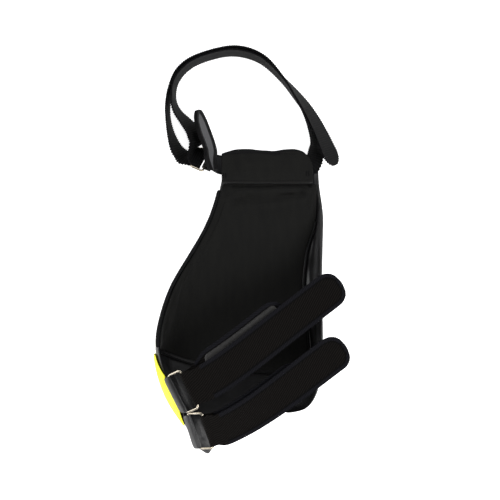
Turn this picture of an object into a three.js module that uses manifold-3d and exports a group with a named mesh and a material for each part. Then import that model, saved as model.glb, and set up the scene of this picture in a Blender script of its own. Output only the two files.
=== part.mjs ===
// A thigh pad for sport, lying on its outer face with the lined leg side up.
// Millimetres. +Z is up, +Y points from the pad to the waist belt, +X to the right wing.
// The origin is on the surface it lies on, under the middle of the whole piece.
import * as THREE from 'three';
import { mergeVertices } from 'three/addons/utils/BufferGeometryUtils.js';
import Module from 'manifold-3d';

const solid = await Module();
solid.setup();

// Driving dimensions of the layers
const GAP = 0.3;                 // clearance between pieces that are sewn together
const SEAT = 1.1;                // clearance over a hollow face, whose facets stand proud of its curve
const SHELL_THICK = 5;           // PU shell under the lining
const WING_THICK = 10;           // PU shell where the lining stops
const RIM_THICK = 3.4;           // shell at its rim
const LINING_THICK = 9;          // brushed lining with its foam
const LINING_EDGE = 2.4;         // lining where it is sewn down
const PIPING_RADIUS = 1.9;
const PANEL_THICK = 1.6;
const WALL_FOOT = 20;            // least reach of a side wall over the floor
const WALL_FOOT_RISE = 0.7;      // more reach for each millimetre of rim height
const SWELL_PULL = 2.6;          // how hard a swelling wall is drawn out

// Driving dimensions of the straps, the rings and the belt
const STRAP_WIDTH = 49;
const STRAP_THICK = 2.5;
const END_FULLNESS = 2.4;        // 2 is a round strap end, more is blunter
const STRAP_BINDING = 5.5;       // bound edge of a strap, left free by the hook tape
const HOOK_THICK = 1;
const RING_WIRE = 3;
const RING_INSIDE = 53;          // room for the strap along the ring
const RING_CORNER = 4;
const WIRE_SIDES = 6;
const RING_TAB_WIDTH = 40;
const RING_TAB_THICK = 2;
const BELT_WIDTH = 38;
const BELT_THICK = 2;
const TAB_WIDTH = 27;
const TAB_RETURN = 9;            // end of the tab behind the slider
const TONGUE_WIDTH = 34;
const TONGUE_THICK = 2.4;

// Belt tunnel: its two mouths, its middle line and its section
const TUNNEL = { left: -40, right: 88, middleY: 117.5 };
const TUNNEL_WALL = 1.6;
const TUNNEL_HALF_WIDTH = 24;
const TUNNEL_HALF_HEIGHT = 6.2;
const MOUTH_SLANT = 13;          // how far its right mouth is cut back for the belt
const MOUTH_GAPE = 2.5;          // how far the tunnel opens at its ends
const TUNNEL_WAVE = [-6, 0, 1.5, 0.5, -2, -0.5, 1.5, -3];   // its free edge, from left to right

// Belt slider
const SLIDER = { long: 46, wide: 18, wire: 3, corner: 3 };

// Middle of the whole piece in the plan of the tables below
const MIDDLE = { x: 0.4, y: -3.4 };

// Sections of the pad from the belt end to the knee end: the plan places of both rims,
// the height of each rim and how far each side wall swells beyond its rim.
const PAD_COLUMNS = [
  'leftX', 'leftY', 'leftRim', 'leftSwell',
  'rightX', 'rightY', 'rightRim', 'rightSwell',
];
const PAD_SECTIONS = [
  [-38, 136, 0.5, 0, 97, 136, 0.5, 0],
  [-41, 95, 3, 0, 98, 95, 4, 1],
  [-56, 48, 10, 1, 103, 52, 20, 2],
  [-81, 0, 17, 2, 101, 14, 34, 2],
  [-108, -47, 27, 3, 99, -24, 45, 2],
  [-123, -93, 38, 4, 98, -62, 55, 2],
  [-127, -130, 48, 6, 99, -97, 59, 2],
  [-117, -167, 56, 11, 99, -129, 60, 2],
  [-98.5, -205, 56, 15, 96, -165, 56, 2],
  [-83, -242, 48, 8, 93, -195, 45, 2],
  [-76, -271, 34, 4, 79, -220, 32, 2],
  [-58, -289, 20, 1, 53, -227, 20, 1],
];
const LAST_SECTION = PAD_SECTIONS.length - 1;

// How far the knee end is drawn in between its two corners, and from which share of the length
const END_BOW = 8;
const END_BOW_START = 0.72;

// Height at which a side wall meets its rim upright
const UPRIGHT_RIM = 45;

// Share of the section, from the left rim to the right one, that each side wall takes
const WALL_SHARE = 0.4;

// Borders of the lining, as shares of the pad's length and of its section
const LINING_START = 1.02 / LAST_SECTION;
const LINING_LEFT = 0.012;
const LINING_RIGHT = [0.985, 0.98, 0.86, 0.73, 0.712, 0.727, 0.747, 0.767, 0.777, 0.777, 0.777, 0.777];
const LINING_END = [0.562, 0.578, 0.645, 0.71, 0.74];

// Place of the yellow panel on the left wing, in the same shares
const YELLOW = { start: 0.575, end: 0.815, top: 0.026, footAtStart: 0.2, footAtEnd: 0.15 };

// The two leg straps. Bar: the place of the ring's strap side. Ring along: the ring's place along the
// left rim. Lift: the strap's height at the bar, at mid span, near the right rim and at the tip. Bend: how
// far the strap bows towards the knee end in plan.
const STRAPS = [
  {
    name: 'upper', barX: -81.5, barY: -187, ringAlong: 0.679, angle: 34.9, span: 226,
    lift: [67, 74, 61, 57], bend: 6, tail: 168, tailShift: 14,
  },
  {
    name: 'lower', barX: -57, barY: -245, ringAlong: 0.823, angle: 31.5, span: 195,
    lift: [58, 66, 64, 60], bend: 11, tail: 152, tailShift: 4,
  },
];
const BEND_START = 25;           // from the ring's bar to the full bend
const RING_STAND_OFF = 4.2;      // from the wing's rim to the ring's near side
const STRAP_FOLD = { bodyFrom: 8, tailFrom: 14, closedAt: 34, shiftedAt: 45 };   // from the ring's bar
const HOOK_START = 36;           // from the ring's bar to the hook tape
const HOOK_END = 9;              // from the hook tape to the tail's end

// Route of the belt: x and y in plan, the lean of its upper edge, in degrees, out of the loop, and the
// share of its full width. The first stretch lies flat and gathered in the tunnel, the rest stands on
// its edge.
const BELT_IN_TUNNEL_Z = SHELL_THICK + SEAT + TUNNEL_HALF_HEIGHT;
const BELT_INNER_ROUTE = [
  [22, 115.5, -90, 0.68],
  [60, 115.5, -90, 0.68],
  [76, 115.5, -90, 0.68],
  [85, 118, -80, 0.68],
  [90.5, 127, -60, 0.72],
  [93, 140, -42, 0.84],
  [92.5, 153, -28, 0.96],
  [81, 182, -14, 1],
  [65, 209, -5, 1],
  [44, 239, 0, 1],
  [14, 266, 2, 1],
  [-22, 276, 2, 1],
  [-58, 270, 2, 1],
  [-86, 257, 2, 1],
  [-103, 237, 3, 1],
  [-107, 214, 5, 1],
  [-102, 195, 14, 1],
  [-90, 180, 23, 1],
  [-79, 166, 30, 1],
  [-73, 151, 36, 1],
];
const BELT_OUTER_ROUTE = [
  [-91, 129, 36, 1],
  [-102, 141, 24, 1],
  [-109.5, 160, 12, 1],
  [-114, 181, 5, 1],
  [-115, 202, 3, 1],
  [-111, 226, 2, 1],
  [-99, 251, 2, 1],
  [-72, 269, 2, 1],
  [-22, 280.5, 2, 1],
  [17, 269, 2, 1],
  [48, 243, -8, 1],
  [73, 212, -22, 1],
  [88, 188, -29, 1],
  [100, 164, -33, 1],
  [112, 136, -38, 1],
];
const BELT_STEP = 12;            // spacing of the belt's sections

// The tab's end in the tunnel and the place where it leaves the tunnel
const TAB_LINE = { startX: -14, leaveX: -40, y: 119 };

// The slider's centre bar and the belt's direction there
const SLIDER_PLACE = { x: -68, y: 127, z: 18.8, heading: -22.7, lean: 43 };

// The tongue beside the slider: plan place, lean and share of its full width
const TONGUE_COLUMNS = ['x', 'y', 'lean', 'width'];
const TONGUE_ROUTE = [
  [-52, 137, -24, 0.8],
  [-56, 148, -25, 0.95],
  [-62, 164, -25, 1],
  [-68, 181, -24, 0.9],
  [-71, 191, -23, 0.62],
  [-73, 196, -22, 0.28],
];

const UP = new THREE.Vector3(0, 0, 1);
const point = (x, y, z) => new THREE.Vector3(x, y, z);
const mix = THREE.MathUtils.lerp;
const radians = THREE.MathUtils.degToRad;
const ease = THREE.MathUtils.smoothstep;
const shares = (count) => Array.from({ length: count + 1 }, (_, i) => i / count);

// A smooth reading of a table with named columns, at a share of its length
function smoothTable(columns, rows) {
  const places = rows.map((_, i) => i / (rows.length - 1));
  const track = new THREE.CubicInterpolant(places, rows.flat(), columns.length);
  return (share) => {
    const values = track.evaluate(share);
    return Object.fromEntries(columns.map((name, i) => [name, values[i]]));
  };
}

// A smooth reading of a plain list of values, at a share of its length
function smoothList(list) {
  const row = smoothTable(['value'], list.map((value) => [value]));
  return (share) => row(share).value;
}

// A closed geometry from points and triangles, turned so that its faces point out
function closedGeometry(points, triangles) {
  const volume = triangles.reduce((sum, [a, b, c]) => {
    const cross = points[b].clone().cross(points[c]);
    return sum + points[a].dot(cross);
  }, 0);
  const outward = volume > 0 ? triangles : triangles.map(([a, b, c]) => [a, c, b]);
  const geometry = new THREE.BufferGeometry().setFromPoints(points);
  geometry.setIndex(outward.flat());
  geometry.computeVertexNormals();
  return geometry;
}

// Two triangles for each cell of a grid of point numbers
function gridTriangles(rows, columns, number) {
  const triangles = [];
  for (let r = 0; r < rows - 1; r += 1) {
    for (let c = 0; c < columns - 1; c += 1) {
      const [a, b, d, e] = [number(r, c), number(r, c + 1), number(r + 1, c), number(r + 1, c + 1)];
      triangles.push([a, b, e], [a, e, d]);
    }
  }
  return triangles;
}

// A closed body between two grids of points: an upper face, a lower face and the wall round them
function sheetBody(upper, lower) {
  const rows = upper.length;
  const columns = upper[0].length;
  const lowerStart = rows * columns;
  const top = (r, c) => r * columns + c;
  const low = (r, c) => lowerStart + top(r, c);
  const triangles = [
    ...gridTriangles(rows, columns, top),
    ...gridTriangles(rows, columns, (r, c) => low(r, columns - 1 - c)),
    ...gridTriangles(2, columns, (r, c) => (r ? top(0, c) : low(0, c))),
    ...gridTriangles(2, columns, (r, c) => (r ? low(rows - 1, c) : top(rows - 1, c))),
    ...gridTriangles(rows, 2, (r, c) => (c ? top(r, 0) : low(r, 0))),
    ...gridTriangles(rows, 2, (r, c) => (c ? low(r, columns - 1) : top(r, columns - 1))),
  ];
  return closedGeometry([...upper.flat(), ...lower.flat()], triangles);
}

// A sheet of even thickness about a grid of points on its middle
function evenSheet(middle, thickness) {
  const lastRow = middle.length - 1;
  const lastColumn = middle[0].length - 1;
  const face = (side) => middle.map((row, r) => row.map((place, c) => {
    const down = middle[Math.min(r + 1, lastRow)][c].clone().sub(middle[Math.max(r - 1, 0)][c]);
    const across = row[Math.min(c + 1, lastColumn)].clone().sub(row[Math.max(c - 1, 0)]);
    const normal = down.cross(across).normalize();
    return place.clone().addScaledVector(normal, side * thickness / 2);
  }));
  return sheetBody(face(1), face(-1));
}

// A flat strip through stations that each give a centre, a width direction and a width
function strip(stations, thickness) {
  const middle = stations.map(({ centre, side, width }) => [-0.5, 0, 0.5].map(
    (share) => centre.clone().addScaledVector(side, share * width),
  ));
  return evenSheet(middle, thickness);
}

// An open sleeve between outer and inner rings of points
function sleeveBody(outer, inner) {
  const rows = outer.length;
  const around = outer[0].length;
  const innerStart = rows * around;
  const out = (r, c) => r * around + (c % around);
  const hole = (r, c) => innerStart + out(r, c);
  const triangles = [
    ...gridTriangles(rows, around + 1, out),
    ...gridTriangles(rows, around + 1, (r, c) => hole(r, around - c)),
    ...gridTriangles(2, around + 1, (r, c) => (r ? out(0, c) : hole(0, c))),
    ...gridTriangles(2, around + 1, (r, c) => (r ? hole(rows - 1, c) : out(rows - 1, c))),
  ];
  return closedGeometry([...outer.flat(), ...inner.flat()], triangles);
}

// A closed loop of round wire through points that lie in one plane
function wireLoop(places, axis, radius, sides) {
  const count = places.length;
  const points = [];
  places.forEach((place, i) => {
    const along = places[(i + 1) % count].clone().sub(places[(i + count - 1) % count]).normalize();
    const across = along.clone().cross(axis);
    for (let s = 0; s < sides; s += 1) {
      const angle = 2 * Math.PI * s / sides;
      points.push(place.clone()
        .addScaledVector(across, radius * Math.cos(angle))
        .addScaledVector(axis, radius * Math.sin(angle)));
    }
  });
  const number = (r, c) => (r % count) * sides + (c % sides);
  return closedGeometry(points, gridTriangles(count + 1, sides + 1, number));
}

// Places round a rectangle with rounded corners. One long side is centred on a place and runs along
// side, and the other lies at a distance from it towards over.
function roundedFrame(place, side, over, halfLong, wide, corner) {
  const corners = [[-1, 0], [1, 0], [1, 1], [-1, 1]];
  return corners.flatMap(([along, far], i) => {
    const middle = place.clone()
      .addScaledVector(side, along * (halfLong - corner))
      .addScaledVector(over, far ? wide - corner : corner);
    return shares(3).map((share) => {
      const angle = Math.PI / 2 * (share + i - 1);
      return middle.clone()
        .addScaledVector(over, -corner * Math.cos(angle))
        .addScaledVector(side, corner * Math.sin(angle));
    });
  });
}

// Two closed bodies that cross, joined into one
function joined(...geometries) {
  const solids = geometries.map((geometry) => {
    const bare = geometry.clone();
    bare.deleteAttribute('normal');
    bare.deleteAttribute('uv');
    const merged = mergeVertices(bare);
    return new solid.Manifold(new solid.Mesh({
      numProp: 3,
      vertProperties: new Float32Array(merged.attributes.position.array),
      triVerts: new Uint32Array(merged.index.array),
    }));
  });
  const mesh = solids[0].add(solids[1]).getMesh();
  const geometry = new THREE.BufferGeometry();
  geometry.setAttribute('position', new THREE.BufferAttribute(mesh.vertProperties, mesh.numProp));
  geometry.setIndex(new THREE.BufferAttribute(mesh.triVerts, 1));
  geometry.computeVertexNormals();
  return geometry;
}

// A round cord with flat ends through places
function pipe(places, radius, steps) {
  const sides = 6;
  const section = shares(sides).slice(0, sides).map((share) => new THREE.Vector2(
    radius * Math.cos(2 * Math.PI * share),
    radius * Math.sin(2 * Math.PI * share),
  ));
  const extrudePath = new THREE.CatmullRomCurve3(places);
  return new THREE.ExtrudeGeometry(new THREE.Shape(section), { steps, extrudePath });
}

// The pad's surfaces
const padSection = smoothTable(PAD_COLUMNS, PAD_SECTIONS);
const liningRight = smoothList(LINING_RIGHT);
const liningEnd = smoothList(LINING_END);

// One side wall of a section, from its rim down to the floor, as a curve of inset and height
function wallCurve(rim, swell) {
  const foot = WALL_FOOT + WALL_FOOT_RISE * rim;
  const flatness = 1 - ease(rim, 0, UPRIGHT_RIM);
  return new THREE.CubicBezierCurve(
    new THREE.Vector2(0, rim),
    new THREE.Vector2(0.4 * foot * flatness - SWELL_PULL * swell, 0.5 * rim),
    new THREE.Vector2(0.12 * foot, 0),
    new THREE.Vector2(foot, 0),
  );
}

// A place in the pad: along its length, across its section, and a depth in from the outer face
function padPlace(along, across, depth) {
  const size = padSection(along);
  const left = point(size.leftX, size.leftY, 0);
  const toRight = point(size.rightX, size.rightY, 0).sub(left);
  const width = toRight.length();
  toRight.normalize();
  const leftWall = wallCurve(size.leftRim, size.leftSwell);
  const rightWall = wallCurve(size.rightRim, size.rightSwell);
  const place = new THREE.Vector2();
  const heading = new THREE.Vector2(1, 0);
  if (across < WALL_SHARE) {
    leftWall.getPoint(across / WALL_SHARE, place);
    leftWall.getTangent(across / WALL_SHARE, heading);
  } else if (across > 1 - WALL_SHARE) {
    rightWall.getPoint((1 - across) / WALL_SHARE, place);
    rightWall.getTangent((1 - across) / WALL_SHARE, heading);
    place.x = width - place.x;
    heading.y = -heading.y;
  } else {
    const share = (across - WALL_SHARE) / (1 - 2 * WALL_SHARE);
    place.x = mix(leftWall.v3.x, width - rightWall.v3.x, share);
  }
  const inset = place.x - depth * heading.y;
  left.y += END_BOW * Math.sin(Math.PI * across) * ease(along, END_BOW_START, 1);
  return left.addScaledVector(toRight, inset).setZ(place.y + depth * heading.x);
}

// How far a place is from the pad's rims and ends, 0 on the edge and 1 well inside
function insideShare(along, across) {
  const fromRim = ease(Math.min(across, 1 - across), 0, 0.14);
  const fromEnd = ease(1 - along, 0, 0.07);
  return Math.min(fromRim, fromEnd);
}

function shellDepth(along, across) {
  const end = liningEnd(THREE.MathUtils.clamp(across, 0, 1));
  const border = liningRight(along);
  const pastEnd = ease(along, end, end + 0.05);
  const pastBorder = ease(across, border + 0.03, border + 0.12);
  const full = mix(SHELL_THICK, WING_THICK, Math.max(pastEnd, pastBorder));
  return mix(RIM_THICK, full, insideShare(along, across));
}

// The lining's own grid: shares of its length and width to a place in the pad
function liningPlace(lengthShare, widthShare) {
  const along = mix(LINING_START, liningEnd(widthShare), lengthShare);
  const across = mix(LINING_LEFT, liningRight(along), widthShare);
  return { along, across };
}

function outerShell() {
  const rows = shares(30);
  const columns = shares(20);
  const face = (depth) => rows.map((along) => columns.map(
    (across) => padPlace(along, across, depth(along, across)),
  ));
  return sheetBody(face(shellDepth), face(() => 0));
}

function innerPad() {
  const rows = shares(20);
  const columns = shares(16);
  const layer = (thickness) => rows.map((lengthShare) => columns.map((widthShare) => {
    const { along, across } = liningPlace(lengthShare, widthShare);
    const fromSide = ease(Math.min(widthShare, 1 - widthShare), 0, 0.16);
    const fromEnd = ease(Math.min(lengthShare, 1 - lengthShare), 0, 0.12);
    const foam = mix(LINING_EDGE, LINING_THICK, Math.min(fromSide, fromEnd));
    return padPlace(along, across, shellDepth(along, across) + SEAT + thickness * foam);
  }));
  return sheetBody(layer(1), layer(0));
}

// Bound edge on the left rim, from the tunnel to the wing
function rimBinding() {
  const reach = PIPING_RADIUS + SEAT;
  const places = shares(24).map((share) => {
    const along = mix(LINING_START + 0.02, 0.55, share);
    const rim = padPlace(along, 0, RIM_THICK + LINING_EDGE / 2);
    const inside = padPlace(along, 0.02, RIM_THICK + LINING_EDGE / 2);
    return rim.addScaledVector(rim.clone().sub(inside).normalize(), reach);
  });
  return pipe(places, PIPING_RADIUS, 36);
}

// Piped seam on the right border of the lining
function seamPiping() {
  const places = shares(32).map((share) => {
    const along = mix(2.3 / LAST_SECTION, 0.73, share);
    const border = liningRight(along);
    const edge = padPlace(along, border, 0);
    const beyond = edge.distanceTo(padPlace(along, border + 0.01, 0)) / 0.01;
    const across = border + (PIPING_RADIUS + SEAT + 2 * GAP) / beyond;
    return padPlace(along, across, shellDepth(along, across) + SEAT + 3 * GAP + PIPING_RADIUS);
  });
  return pipe(places, PIPING_RADIUS, 40);
}

// Piped seam on the lower border of the lining
function hemPiping() {
  const places = shares(9).map((share) => {
    const widthShare = mix(0.01, 0.97, share);
    const { along, across } = liningPlace(1, widthShare);
    const below = along + 0.012;
    return padPlace(below, across, shellDepth(below, across) + SEAT + PIPING_RADIUS);
  });
  return pipe(places, PIPING_RADIUS, 32);
}

function yellowPanel() {
  const middle = shares(8).map((lengthShare) => shares(5).map((widthShare) => {
    const along = mix(YELLOW.start, YELLOW.end, lengthShare);
    const foot = mix(YELLOW.footAtStart, YELLOW.footAtEnd, lengthShare);
    const across = mix(YELLOW.top, foot, widthShare);
    return padPlace(along, across, -SEAT - PANEL_THICK / 2);
  }));
  return evenSheet(middle, PANEL_THICK);
}

// The sleeve across the belt end of the pad, with the waves of its free edge
function beltTunnel() {
  const wave = smoothList(TUNNEL_WAVE);
  const sides = 16;
  const square = (value) => Math.sign(value) * Math.abs(value) ** 0.7;
  const gape = (share) => MOUTH_GAPE * ease(Math.max(share, 1 - share), 0.88, 1);
  const ring = (share, inset) => shares(sides).slice(0, sides).map((turn) => {
    const angle = 2 * Math.PI * turn;
    const freeEdge = Math.max(0, Math.cos(angle));
    const halfWidth = TUNNEL_HALF_WIDTH - inset + freeEdge * wave(share);
    const y = TUNNEL.middleY + square(Math.cos(angle)) * halfWidth;
    const halfHeight = TUNNEL_HALF_HEIGHT + gape(share);
    const z = SHELL_THICK + SEAT + halfHeight + square(Math.sin(angle)) * (halfHeight - inset);
    return point(mix(TUNNEL.left, TUNNEL.right - MOUTH_SLANT * freeEdge, share), y, z);
  });
  const wall = (inset) => shares(14).map((share) => ring(share, inset));
  return sleeveBody(wall(0), wall(TUNNEL_WALL));
}

// The direction across an upright strip that leans from the vertical
function leaningSide(heading, lean) {
  const outward = heading.clone().cross(UP).normalize();
  const upright = outward.clone().cross(heading).normalize();
  return upright.multiplyScalar(Math.cos(radians(lean))).addScaledVector(outward, Math.sin(radians(lean)));
}

// Stations of a belt layer along its route, each standing on the floor or lying in the tunnel
function beltLayer(route, flip) {
  const curve = new THREE.CatmullRomCurve3(route.map(([x, y]) => point(x, y, 0)));
  const leanAt = smoothList(route.map(([, , lean]) => lean));
  const widthAt = smoothList(route.map(([, , , width]) => width * BELT_WIDTH));
  const count = Math.round(curve.getLength() / BELT_STEP);
  return shares(count).map((share) => {
    const angle = leanAt(share);
    const centre = curve.getPoint(share);
    const heading = curve.getTangent(share).multiplyScalar(flip);
    const width = widthAt(share);
    const floorZ = width / 2 * Math.cos(radians(angle)) + BELT_THICK / 2;
    centre.z = Math.max(floorZ, BELT_IN_TUNNEL_Z);
    return { centre, side: leaningSide(heading, angle), width };
  });
}

// The slider's own directions: along the belt, across it and out of its face
function sliderFrame() {
  const angle = radians(SLIDER_PLACE.heading);
  const along = point(Math.cos(angle), Math.sin(angle), 0);
  const across = leaningSide(along, SLIDER_PLACE.lean);
  const out = along.clone().cross(across);
  return { centre: point(SLIDER_PLACE.x, SLIDER_PLACE.y, SLIDER_PLACE.z), along, across, out };
}

// Half a turn of a strip round a straight bar, from one face of the bar to the other
function foldRound(centre, along, out, side, width, radius) {
  return shares(6).map((share) => {
    const angle = Math.PI * share;
    return {
      centre: centre.clone()
        .addScaledVector(along, radius * Math.sin(angle))
        .addScaledVector(out, -radius * Math.cos(angle)),
      side: side.clone(),
      width,
    };
  });
}

function waistBelt() {
  const { centre, along, out, across } = sliderFrame();
  const foldRadius = SLIDER.wire / 2 + GAP + BELT_THICK / 2;
  const fold = foldRound(centre, along, out, across, BELT_WIDTH, foldRadius);
  const pastRail = (way) => ({
    centre: centre.clone()
      .addScaledVector(along, -0.75 * SLIDER.wide)
      .addScaledVector(out, way * (foldRadius + GAP)),
    side: across.clone(),
    width: BELT_WIDTH,
  });
  const inner = beltLayer(BELT_INNER_ROUTE, 1);
  const outer = beltLayer(BELT_OUTER_ROUTE, -1);
  const tip = [0.35, 0.7, 0.93].map((share) => {
    const end = outer[outer.length - 1];
    const before = outer[outer.length - 2];
    const heading = end.centre.clone().sub(before.centre).normalize();
    const forward = BELT_WIDTH / 2 * share;
    const width = BELT_WIDTH * Math.sqrt(1 - share * share);
    return { centre: end.centre.clone().addScaledVector(heading, forward), side: end.side, width };
  });
  return strip([...inner, pastRail(-1), ...fold, pastRail(1), ...outer, ...tip], BELT_THICK);
}

// A wire frame with rounded corners and a bar across its middle
function beltSlider() {
  const { centre, along, across, out } = sliderFrame();
  const radius = SLIDER.wire / 2;
  const halfWide = SLIDER.wide / 2;
  const halfLong = SLIDER.long / 2;
  const edge = centre.clone().addScaledVector(along, -halfWide);
  const loop = roundedFrame(edge, across, along, halfLong, SLIDER.wide, SLIDER.corner);
  const bar = new THREE.CylinderGeometry(radius, radius, SLIDER.long, WIRE_SIDES);
  bar.applyMatrix4(new THREE.Matrix4().makeBasis(along, across, out).setPosition(centre));
  return joined(wireLoop(loop, out, radius, WIRE_SIDES), bar);
}

// The grey tab: flat in the tunnel, then turned up and folded round the slider's right rail
function beltTab() {
  const { centre, along, across, out } = sliderFrame();
  const railPlace = centre.clone().addScaledVector(along, SLIDER.wide / 2);
  const radius = SLIDER.wire / 2 + GAP + BELT_THICK / 2;
  const away = along.clone().negate();
  const fold = foldRound(railPlace, away, out, across, TAB_WIDTH, radius);
  const flatSide = point(0, -1, 0);
  const start = point(TAB_LINE.startX, TAB_LINE.y, BELT_IN_TUNNEL_Z);
  const leave = point(TAB_LINE.leaveX, TAB_LINE.y, BELT_IN_TUNNEL_Z);
  const lead = [0, 1, 2, 3, 4, 5, 6].map((step) => {
    const share = step / 7;
    const inTunnel = start.clone().lerp(leave, share * 2);
    const toSlider = leave.clone().lerp(fold[0].centre, share * 2 - 1);
    const side = flatSide.clone().lerp(across, ease(share, 0.4, 1)).normalize();
    return { centre: share < 0.5 ? inTunnel : toSlider, side, width: TAB_WIDTH };
  });
  const backEnd = fold[fold.length - 1].centre.clone().addScaledVector(along, TAB_RETURN);
  const back = { centre: backEnd, side: across.clone(), width: TAB_WIDTH };
  return strip([...lead, ...fold, back], BELT_THICK);
}

function beltTongue() {
  const row = smoothTable(TONGUE_COLUMNS, TONGUE_ROUTE);
  const stations = shares(12).map((share) => {
    const { x, y, lean, width } = row(share);
    const ahead = row(Math.min(1, share + 0.02));
    const behind = row(Math.max(0, share - 0.02));
    const heading = point(ahead.x - behind.x, ahead.y - behind.y, 0).normalize();
    const height = TONGUE_WIDTH / 2 * Math.cos(radians(lean)) + TONGUE_THICK / 2;
    return { centre: point(x, y, height), side: leaningSide(heading, lean), width: TONGUE_WIDTH * width };
  });
  return strip(stations, TONGUE_THICK);
}

// A strap's ring: its two long sides, the direction they run in, and the strap's directions there
function ringFrame(strap) {
  const middle = RIM_THICK / 2;
  const rim = padPlace(strap.ringAlong, 0, middle);
  const beyond = rim.clone().sub(padPlace(strap.ringAlong, 0.02, middle)).normalize();
  const tabBar = rim.clone().addScaledVector(beyond, RING_STAND_OFF);
  const ahead = padPlace(strap.ringAlong + 0.02, 0, middle);
  const side = ahead.sub(padPlace(strap.ringAlong - 0.02, 0, middle)).normalize();
  const bar = point(strap.barX, strap.barY, strap.lift[0]);
  const reach = tabBar.sub(bar);
  reach.addScaledVector(side, -reach.dot(side));
  const angle = radians(strap.angle);
  const heading = point(Math.cos(angle), Math.sin(angle), 0);
  const along = heading.clone().addScaledVector(side, -heading.dot(side)).normalize();
  const out = side.clone().cross(along).normalize();
  return { bar, reach, side, heading, along, out };
}

// A station of a strap at a distance from its ring's bar, dropped below the face and shifted sideways
function strapStation(strap, distance, drop, shift, width) {
  const { bar, side, heading } = ringFrame(strap);
  const share = distance / strap.span;
  const level = heading.clone().cross(UP).normalize();
  const across = side.clone().lerp(level, ease(share, 0, 0.9)).normalize();
  const height = smoothList(strap.lift);
  const near = 0.02;
  const rise = height(Math.min(1, share + near)) - height(Math.max(0, share - near));
  const slope = rise / (2 * near * strap.span);
  const along = heading.clone().setZ(slope).normalize();
  const out = across.clone().cross(along).normalize();
  const centre = bar.clone().addScaledVector(heading, distance);
  const barReach = RING_WIRE / 2 + GAP + STRAP_THICK / 2;
  centre.z = height(share) + barReach;
  const clearOfRing = ease(distance, 0, BEND_START);
  const bow = strap.bend * clearOfRing * Math.sin(Math.PI * Math.sqrt(Math.min(1, share)));
  centre.addScaledVector(out, -drop).addScaledVector(across, bow - shift);
  return { centre, side: across, width };
}

const ROUND_END = [0.4, 0.7, 0.88, 0.98];

// The strap from its round tip to the ring, round the bar and back under itself to the tail's round end
function legStrap(strap) {
  const { bar, side, along, out } = ringFrame(strap);
  const barReach = RING_WIRE / 2 + GAP + STRAP_THICK / 2;
  const tailDrop = STRAP_THICK + HOOK_THICK + 2 * GAP;
  const radius = STRAP_WIDTH / 2;
  const endWidth = (share) => STRAP_WIDTH * (1 - share ** END_FULLNESS) ** (1 / END_FULLNESS);
  const tip = ROUND_END.map((share) => strapStation(
    strap, strap.span + radius * share, 0, 0, endWidth(share),
  ));
  const body = shares(18).map((share) => strapStation(
    strap, mix(strap.span, STRAP_FOLD.bodyFrom, share), 0, 0, STRAP_WIDTH,
  ));
  const fold = foldRound(bar, along.clone().negate(), out.clone().negate(), side, STRAP_WIDTH, barReach);
  const tailStraight = strap.tail - radius;
  const tail = shares(12).map((share) => {
    const distance = mix(STRAP_FOLD.tailFrom, tailStraight, share);
    const closing = ease(distance, STRAP_FOLD.bodyFrom, STRAP_FOLD.closedAt);
    const drop = mix(2 * barReach, tailDrop, closing);
    const shift = strap.tailShift * ease(distance, 0, STRAP_FOLD.shiftedAt);
    return strapStation(strap, distance, drop, shift, STRAP_WIDTH);
  });
  const tailEnd = ROUND_END.map((share) => strapStation(
    strap, tailStraight + radius * share, tailDrop, strap.tailShift, endWidth(share),
  ));
  return strip([...tip.reverse(), ...body, ...fold, ...tail, ...tailEnd], STRAP_THICK);
}

// Hook tape on the upper face of the tail
function hookPatch(strap) {
  const drop = STRAP_THICK / 2 + GAP + HOOK_THICK / 2;
  const width = STRAP_WIDTH - 2 * STRAP_BINDING;
  const stations = shares(12).map((share) => {
    const distance = mix(HOOK_START, strap.tail - HOOK_END, share);
    return strapStation(strap, distance, drop, strap.tailShift, width);
  });
  return strip(stations, HOOK_THICK);
}

function strapRing(strap) {
  const { bar, side, reach } = ringFrame(strap);
  const half = RING_INSIDE / 2 + RING_WIRE / 2;
  const loop = roundedFrame(bar, side, reach.clone().normalize(), half, reach.length(), RING_CORNER);
  const axis = side.clone().cross(reach).normalize();
  return wireLoop(loop, axis, RING_WIRE / 2, WIRE_SIDES);
}

// The tab folded round the ring, with a leg on each face of the wing's rim
function ringTab(strap) {
  const { bar, side, reach } = ringFrame(strap);
  const tabBar = bar.clone().add(reach);
  const radius = RING_WIRE / 2 + GAP + RING_TAB_THICK / 2;
  const columns = shares(4).map((share) => (share - 0.5) * RING_TAB_WIDTH);
  const profiles = columns.map((offset) => {
    const over = tabBar.clone().addScaledVector(side, offset);
    const along = nearestAlong(over);
    const outerFoot = padPlace(along, 0.01, -SEAT - 2 * GAP - RING_TAB_THICK / 2);
    const innerFoot = padPlace(along, 0.02, shellDepth(along, 0.02) + SEAT + 2 * GAP + RING_TAB_THICK / 2);
    const inward = innerFoot.clone().sub(outerFoot);
    inward.addScaledVector(side, -inward.dot(side)).normalize();
    const upward = inward.clone().cross(side);
    upward.multiplyScalar(Math.sign(upward.dot(over.clone().sub(outerFoot))));
    const turn = shares(6).map((share) => over.clone()
      .addScaledVector(inward, -radius * Math.cos(Math.PI * share))
      .addScaledVector(upward, radius * Math.sin(Math.PI * share)));
    return [outerFoot, ...turn, innerFoot];
  });
  const middle = profiles[0].map((_, i) => profiles.map((profile) => profile[i]));
  return evenSheet(middle, RING_TAB_THICK);
}

// The share of the pad's length whose left rim is nearest to a place
function nearestAlong(place) {
  const distance = (along) => padPlace(along, 0, 0).setZ(place.z).distanceTo(place);
  return shares(400).reduce((best, along) => (distance(along) < distance(best) ? along : best), 0);
}

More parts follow.
